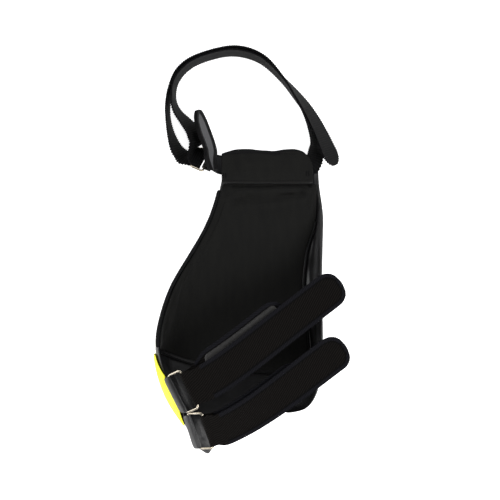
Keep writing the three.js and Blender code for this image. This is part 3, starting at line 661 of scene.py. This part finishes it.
def sew(points, target, pitch=STITCH_PITCH):
    """Lays a row of stitches over a piece, along a line of plan places."""
    surface = BVHTree.FromObject(target, bpy.context.evaluated_depsgraph_get())
    spots = [place(x, y, SEW_FROM) for x, y, _ in even_rows([[x, y, 0.0] for x, y in points], pitch)]
    for spot, ahead in zip(spots, spots[1:]):
        hit, normal, _, _ = surface.ray_cast(spot, -UP)
        if hit is None:
            continue
        along = (ahead - spot).normalized()
        across = normal.cross(along).normalized()
        along = across.cross(normal)
        turn = Matrix((along, across, normal)).transposed().to_4x4()
        size = Matrix.Diagonal([side * MM / 2 for side in STITCH_SIZE]).to_4x4()
        bmesh.ops.create_icosphere(
            stitches, subdivisions=1, radius=1.0, matrix=Matrix.Translation(hit) @ turn @ size)


# Leg straps

def strap_spot(strap, distance, drop=0.0, shift=0.0):
    """Centre and side way of a strap at a distance from its ring's bar."""
    share = distance / strap["span"]
    angle = math.radians(strap["angle"])
    heading = Vector((math.cos(angle), math.sin(angle), 0.0))
    level = heading.cross(UP)
    across = Vector(strap["side"]).lerp(level, ease(share, 0.0, LEVEL_SHARE)).normalized()
    heights = [[lift] for lift in strap["lift"]]
    last = len(heights) - 1
    height = row_at(heights, min(last, share * last))[0]
    ahead = row_at(heights, min(last, (share + SLOPE_SHARE) * last))[0]
    behind = row_at(heights, max(0.0, min(last, (share - SLOPE_SHARE) * last)))[0]
    slope = (ahead - behind) / (2 * SLOPE_SHARE * strap["span"])
    along = (heading + UP * slope).normalized()
    out = across.cross(along).normalized()
    centre = Vector(strap["bar"]) + heading * distance
    centre.z = height + STRAP_REACH
    clear_of_ring = ease(distance, 0.0, BEND_START)
    bow = strap["bend"] * clear_of_ring * math.sin(math.pi * math.sqrt(min(1.0, share)))
    return centre - out * drop + across * (bow - shift), across


def strap_rows(strap):
    """Rows of a strap from its tip to its ring, round the bar and back to the end of its tail."""
    radius = STRAP_WIDTH / 2
    tail_drop = SOLID_THICK + HOOK_THICK + 2 * GAP
    straight = strap["tail"] - radius
    rows = []

    def add(distance, drop, shift, width):
        centre, across = strap_spot(strap, distance, drop, shift)
        rows.append([*centre, *across, width])

    def end_width(share):
        return STRAP_WIDTH * (1 - share ** END_FULLNESS) ** (1 / END_FULLNESS)

    def neck_width(distance):
        before, after = NECK_EASE
        return mix(NECK_WIDTH, STRAP_WIDTH, ease(distance, strap["neck"] - before, strap["neck"] + after))

    for share in reversed(ROUND_END):
        add(strap["span"] + radius * share, 0.0, 0.0, end_width(share))
    for share in shares(RUN_STEPS):
        distance = mix(strap["span"], FOLD_START, share)
        add(distance, 0.0, 0.0, neck_width(distance))
    along = Vector(strap["along"])
    out = Vector(strap["out"])
    for share in shares(FOLD_STEPS):
        angle = math.pi * share
        turned = out * math.cos(angle) - along * math.sin(angle)
        centre = Vector(strap["bar"]) + turned * STRAP_REACH
        rows.append([*centre, *strap["side"], NECK_WIDTH])
    for share in shares(TAIL_STEPS):
        distance = mix(TAIL_START, straight, share)
        drop = mix(2 * STRAP_REACH, tail_drop, ease(distance, FOLD_START, TAIL_CLOSED))
        shift = strap["tail_shift"] * ease(distance, 0, TAIL_SHIFTED)
        add(distance, drop, shift, neck_width(distance))
    for share in ROUND_END:
        add(straight + radius * share, tail_drop, strap["tail_shift"], end_width(share))
    return rows


def bound_thickness(body, bound, width):
    """Thickness of a strip with a folded tape along its outline and a sewn dip beside the tape."""
    def thickness(along, edge):
        tape = 1.0 - ease(edge, width - TAPE_STEP, width + TAPE_STEP)
        dip = DIP_DEPTH * math.exp(-((edge - width) / DIP_WIDTH) ** 2)
        return mix(body, bound, tape) - dip
    return thickness


def widen(mesh, middle, way, share):
    """Spreads a mesh along one way from a place."""
    shift_points(mesh, lambda spot, outward: way * ((spot - middle).dot(way) * share))


for strap in STRAPS:
    rows = even_rows(strap_rows(strap), STRAP_STEP)
    tape = bound_thickness(STRAP_THICK, BINDING_THICK, BINDING_WIDTH)
    bar_run = strap["span"] + STRAP_WIDTH / 2
    neck = (bar_run - strap["neck"], bar_run + strap["neck"] + TAIL_NECK)
    piece = ribbon(
        "elastic_strap_" + strap["name"], rows, columns=40, thickness=tape, material=ELASTIC, plain=neck)
    finish_piece(piece, "elastic", "leg_strap_" + strap["name"])
    inset = STRAP_WIDTH / 2 - BINDING_WIDTH - SEAM_INSET
    body_rows = [row for row in rows[:round(neck[0] / STRAP_STEP)] if row[6] > 2 * inset]
    for way in (-inset, inset):
        sew([(row[0] + row[3] * way, row[1] + row[4] * way) for row in body_rows[::SEAM_STRIDE]], piece)
    arc = []
    for share in shares(ARC_STEPS):
        turn = math.pi * (share - 0.5)
        centre, across = strap_spot(strap, strap["span"] - TIP_SEAM + inset * math.cos(turn))
        arc.append((centre + across * inset * math.sin(turn))[:2])
    sew(arc, piece)
    hooks = smooth_copy("hook_tape_" + strap["name"], "hook_patch_" + strap["name"], 1, HOOKS)
    finish_piece(hooks, "hook_tape", "hook_patch_" + strap["name"])
    reach = Vector(strap["reach"])
    loop = rounded_frame(Vector(strap["bar"]), Vector(strap["side"]), reach.normalized(),
                         (RING_INSIDE + RING_WIRE) / 2, reach.length, RING_CORNER)
    ring = add_object("wire_ring_" + strap["name"], wire(loop, RING_WIRE / 2, True), STEEL)
    finish_piece(ring, "steel", "strap_ring_" + strap["name"])
    tab = smooth_copy("ring_holder_" + strap["name"], "ring_tab_" + strap["name"], 2, BLACK_PU)
    widen(tab.data, Vector(strap["bar"]) + reach, Vector(strap["side"]), TAB_SPREAD)
    finish_piece(tab, "black_pu", "ring_tab_" + strap["name"])


# Waist belt, slider, tab and tongue

def leaning_side(heading, lean):
    """The way across an upright strip that leans from the vertical."""
    outward = heading.cross(UP).normalized()
    upright = outward.cross(heading).normalized()
    return upright * math.cos(math.radians(lean)) + outward * math.sin(math.radians(lean))


def with_headings(spots):
    """Each spot of a route with its heading in plan."""
    ahead = spots[1:] + spots[-1:]
    behind = spots[:1] + spots[:-1]
    headings = [Vector((two[0] - one[0], two[1] - one[1], 0.0)) for one, two in zip(behind, ahead)]
    return zip(spots, headings)


def belt_layer(route, flip):
    """Rows of one layer of the belt, which stands on the floor or lies in the tunnel."""
    spots = even_rows([[x, y, 0.0, lean, share] for x, y, lean, share in route], BELT_ROW_STEP)
    rows = []
    for (x, y, _, lean, share), heading in with_headings(spots):
        width = share * BELT_WIDTH
        standing = width / 2 * math.cos(math.radians(lean)) + BELT_HALF_SOLID
        rows.append([x, y, max(standing, BELT_IN_TUNNEL_Z), *leaning_side(heading * flip, lean), width])
    return rows


slider_angle = math.radians(SLIDER["heading"])
slider_centre = Vector((SLIDER["x"], SLIDER["y"], SLIDER["z"]))
slider_along = Vector((math.cos(slider_angle), math.sin(slider_angle), 0.0))
slider_across = leaning_side(slider_along, SLIDER["lean"])
slider_out = slider_along.cross(slider_across)


def fold_rows(centre, along, width):
    """Half a turn of a strip round a bar of the slider."""
    rows = []
    for share in shares(FOLD_STEPS):
        turn = math.pi * share
        turned = along * math.sin(turn) - slider_out * math.cos(turn)
        rows.append([*(centre + turned * SLIDER_FOLD), *slider_across, width])
    return rows


def belt_rows():
    """Rows of the belt from the tunnel round the loop, through the slider and back to its round tip."""
    before = slider_centre - slider_along * SLIDER_LEAD * SLIDER["wide"]
    apart = slider_out * (SLIDER_FOLD + GAP)
    rows = belt_layer(BELT_INNER_ROUTE, 1)
    rows.append([*(before - apart), *slider_across, BELT_WIDTH])
    rows += fold_rows(slider_centre, slider_along, BELT_WIDTH)
    rows.append([*(before + apart), *slider_across, BELT_WIDTH])
    outer = belt_layer(BELT_OUTER_ROUTE, -1)
    end = outer[-1]
    heading = (Vector(end[:3]) - Vector(outer[-2][:3])).normalized()
    for share in ROUND_END:
        spot = Vector(end[:3]) + heading * BELT_WIDTH / 2 * share
        outer.append([*spot, *end[3:6], BELT_WIDTH * math.sqrt(1 - share ** 2)])
    return rows + outer


def ribbed_thickness(along, edge):
    """Thickness of webbing with ribs across it, which are higher at its selvages."""
    rib = 0.5 + 0.5 * math.cos(2 * math.pi * along / RIB_PITCH)
    selvage = 1.0 - ease(edge, 0.0, SELVAGE_WIDTH)
    return BELT_THICK + RIB_HEIGHT * rib * (1.0 + SELVAGE_GAIN * selvage)


belt = ribbon("webbing_belt", even_rows(belt_rows(), BELT_STEP), columns=12, thickness=ribbed_thickness,
              material=WEBBING, scallop=SCALLOP)
finish_piece(belt, "webbing", "waist_belt")

bm = bmesh.new()
loop = rounded_frame(slider_centre - slider_along * SLIDER["wide"] / 2, slider_across, slider_along,
                     SLIDER["long"] / 2, SLIDER["wide"], SLIDER["corner"])
bm.from_mesh(wire(loop, SLIDER["wire"] / 2, True))
half_bar = slider_across * SLIDER["long"] / 2
bar = [place(*(slider_centre + half_bar * end)) for end in (-1, 1)]
bm.from_mesh(wire(bar, SLIDER["wire"] / 2, False))
slider = add_object("wire_slider", mesh_from(bm, "wire_slider"), STEEL)
finish_piece(slider, "steel", "belt_buckle")


def tab_rows():
    """Rows of the tab from the tunnel to the slider's right rail and round it."""
    rail = slider_centre + slider_along * SLIDER["wide"] / 2
    fold = fold_rows(rail, -slider_along, TAB_WIDTH)
    first = Vector(fold[0][:3])
    flat_side = Vector((0, -1, 0))
    rows = []
    for share in shares(TAB_ROWS)[:-1]:
        in_tunnel = TAB_START.lerp(TAB_LEAVE, share * 2)
        to_slider = TAB_LEAVE.lerp(first, share * 2 - 1)
        side = flat_side.lerp(slider_across, ease(share, TAB_TURN, 1.0)).normalized()
        rows.append([*(in_tunnel if share < 0.5 else to_slider), *side, TAB_WIDTH])
    end = Vector(fold[-1][:3]) + slider_along * TAB_RETURN
    return rows + fold + [[*end, *slider_across, TAB_WIDTH]]


tab_thickness = bound_thickness(TAB_THICK, TAB_EDGE, TAB_BINDING)
tab = ribbon("grey_tab", even_rows(tab_rows(), FINE_STEP), columns=18, thickness=tab_thickness,
             material=TAB_TAPE)
finish_piece(tab, "grey_tape", "belt_tab")


def tongue_rows():
    """Rows of the tongue from its foot over the tab to its tip."""
    rows = []
    spots = even_rows([[x, y, lift, lean, width] for x, y, lean, width, lift in TONGUE_ROUTE], FINE_STEP)
    for (x, y, lift, lean, width), heading in with_headings(spots):
        height = TONGUE_WIDTH / 2 * math.cos(math.radians(lean)) + TONGUE_STAND + lift
        rows.append([x, y, height, *leaning_side(heading, lean), TONGUE_WIDTH * width])
    return rows


tongue_thickness = bound_thickness(TONGUE_THICK, TONGUE_EDGE, TONGUE_BINDING)
tongue = ribbon("bound_tongue", tongue_rows(), columns=24, thickness=tongue_thickness, material=GREY_TAPE)
finish_piece(tongue, "grey_tape", "belt_tongue")


# The pad

def held_share(vert):
    """1 on the floor face of a layer, which is sewn down, and 0 on its leg face, which swells."""
    return 1.0 - ease(vert.normal.z, *FREE_FACING)


def pad_out(obj, cap):
    """Swells the leg face of a padded piece by a cloth simulation, no further than the cap."""
    mesh = obj.data
    held = obj.vertex_groups.new(name="sewn")
    for vert in mesh.vertices:
        held.add([vert.index], held_share(vert), "REPLACE")
    rest = [vert.co.copy() for vert in mesh.vertices]
    cloth = obj.modifiers.new("Padding", "CLOTH")
    cloth.settings.quality = PAD_QUALITY
    cloth.settings.use_pressure = True
    cloth.settings.uniform_pressure_force = PAD_PRESSURE
    cloth.settings.vertex_group_mass = "sewn"
    cloth.settings.effector_weights.gravity = 0.0
    cloth.collision_settings.use_collision = False
    for number in range(1, PAD_FRAMES + 1):
        bpy.context.scene.frame_set(number)
    depsgraph = bpy.context.evaluated_depsgraph_get()
    swollen = obj.evaluated_get(depsgraph).data
    moved = [vert.co - start for vert, start in zip(swollen.vertices, rest)]
    obj.modifiers.remove(cloth)
    bpy.context.scene.frame_set(1)
    for vert, start, move in zip(mesh.vertices, rest, moved):
        length = move.length
        if length > cap * MM:
            move = move * (cap * MM / length)
        vert.co = start + move


def round_corner(obj, corner, radius, times):
    """Rounds a corner of a piece by easing the points near a plan place."""
    bm = bmesh.new()
    bm.from_mesh(obj.data)
    middle = place(*corner, 0)
    near = [vert for vert in bm.verts if (vert.co - middle).xy.length < radius * MM]
    for _ in range(times):
        bmesh.ops.smooth_vert(bm, verts=near, factor=0.5, use_axis_x=True, use_axis_y=True, use_axis_z=True)
    bm.to_mesh(obj.data)
    bm.free()


shell = smooth_copy("padded_shell", "outer_shell", 1, BLACK_PU)
round_corner(shell, KNEE_CORNER, KNEE_RADIUS, KNEE_PASSES)
pad_out(shell, SHELL_SWELL)
subdivide(shell, 2)
finish_piece(shell, "black_pu", "outer_shell")

lining = smooth_copy("brushed_lining", "inner_pad", 1, KNIT)
pad_out(lining, LINING_SWELL)
subdivide(lining, 2)

crease_lines = [(fine_line(points, CREASE_STEPS), deep, half) for points, deep, half in LINING_CREASES]


def crease(spot, outward):
    """How a crease lowers the lining's leg face, with the swell beside it."""
    rise = 0.0
    if outward.z > LEG_FACE and CREASE_ZONE[0] < spot.y < CREASE_ZONE[1]:
        for line, deep, half in crease_lines:
            near = min(math.hypot(spot.x - x, spot.y - y) for x, y in line)
            rise -= deep * math.exp(-(near / half) ** 2)
            rise += CREASE_SWELL * deep * math.exp(-((near - CREASE_SWELL_PLACE * half) / half) ** 2)
    return UP * rise


shift_points(lining.data, crease)
finish_piece(lining, "lining", "inner_pad")

tunnel = smooth_copy("belt_sleeve", "belt_tunnel", 3, KNIT)


def pucker(spot, outward):
    """Soft upright folds and small puckers of the sleeve."""
    rise = 0.0
    for size_x, size_y, height, layer in (SLEEVE_FOLDS, SLEEVE_PUCKERS):
        rise += height * noise.noise(Vector((spot.x / size_x, spot.y / size_y, layer)))
    return outward * rise


shift_points(tunnel.data, pucker)
# Painted shade: faces of the sleeve's rolled top edge that look towards the belt take the darker binding
# material.
tunnel.data.materials.append(BINDING)
for face in tunnel.data.polygons:
    middle = face.center / MM + MIDDLE
    if middle.y > SHADED_HEM_START and face.normal.y > SHADED_HEM_FACING:
        face.material_index = 1
finish_piece(tunnel, "lining", "belt_tunnel")

rim_surface = BVHTree.FromObject(shell, bpy.context.evaluated_depsgraph_get())


def lap(spot, outward):
    """Widens the binding and draws it in, so that it laps over the shell's rim."""
    near = rim_surface.find_nearest(place(*spot))[0]
    to_shell = (near - place(*spot)).normalized()
    over_rim = RIM_DRAW * ease(-spot.y, *RIM_DRAW_ZONE)
    return outward * LAP_SWELL + to_shell * LAP_DRAW + over_rim


for name, node in (
        ("edge_binding", "rim_binding"), ("border_piping", "seam_piping"), ("lower_piping", "hem_piping")):
    piping = smooth_copy(name, node, 2, BINDING)
    if name == "edge_binding":
        shift_points(piping.data, lap)
    finish_piece(piping, "binding", node)

for points in SHELL_SEAMS:
    sew(points, shell)
for points in SLEEVE_SEAMS:
    sew(points, tunnel)
for x, y in BARTACKS:
    for step in range(BARTACK_ROWS):
        sew([(x + side * BARTACK_PITCH, y + step) for side in (-1, 0, 1)], tunnel, BARTACK_PITCH)
seams = add_object("sewn_seams", mesh_from(stitches, "sewn_seams"), THREAD)
finish_piece(seams, "binding")

panel = smooth_copy("yellow_side_panel", "yellow_panel", 2, YELLOW_PU)
panel_spots = [vert.co / MM + MIDDLE for vert in panel.data.vertices]
panel_low = Vector([min(spot[axis] for spot in panel_spots) for axis in range(3)])
panel_high = Vector([max(spot[axis] for spot in panel_spots) for axis in range(3)])


def draw_up(spot, outward):
    """Draws the middle of the panel's upper border over the wing's rim, along the shell's surface."""
    near, facing = rim_surface.find_nearest(place(*spot))[:2]
    stand_off = (place(*spot) - near).dot(facing)
    from_ends = min(spot.y - panel_low.y, panel_high.y - spot.y)
    share = ease(spot.z, panel_low.z, panel_high.z) * ease(from_ends, 0.0, PANEL_TAPER)
    goal, goal_facing = rim_surface.find_nearest(place(*(spot + PANEL_DRAW * share)))[:2]
    return (goal + goal_facing * stand_off - place(*spot)) / MM


shift_points(panel.data, draw_up)
finish_piece(panel, "yellow_pu", "yellow_panel")

# Floor, camera and light

bm = bmesh.new()
bmesh.ops.create_grid(bm, x_segments=1, y_segments=1, size=FLOOR_REACH)
bmesh.ops.create_cone(bm, segments=WALL_SIDES, radius1=WALL_REACH, radius2=WALL_REACH, depth=2 * WALL_HEIGHT)
floor = add_object("floor", mesh_from(bm, "floor"), light_table())

camera_data = bpy.data.cameras.new("camera")
camera_data.sensor_fit = "HORIZONTAL"
camera_data.angle = 2 * math.atan(VIEW_WIDTH / 2 / CAMERA_HEIGHT)
camera = bpy.data.objects.new("camera", camera_data)
camera.location = place(0, 0, CAMERA_HEIGHT)
bpy.context.scene.collection.objects.link(camera)
bpy.context.scene.camera = camera

world = bpy.data.worlds.new("soft room")
world.use_nodes = True
world.node_tree.nodes["Background"].inputs["Color"].default_value = linear("#ffffff")
world.node_tree.nodes["Background"].inputs["Strength"].default_value = ROOM_LIGHT
bpy.context.scene.world = world
bpy.context.scene.view_settings.view_transform = "Standard"

for spot, size, power in SOFT_BOXES:
    light = bpy.data.lights.new("soft box", "AREA")
    light.shape = "RECTANGLE"
    light.size, light.size_y = size
    light.energy = power
    lamp = bpy.data.objects.new("soft box", light)
    lamp.location = spot
    lamp.rotation_euler = (-Vector(spot)).to_track_quat("-Z", "Y").to_euler()
    bpy.context.scene.collection.objects.link(lamp)
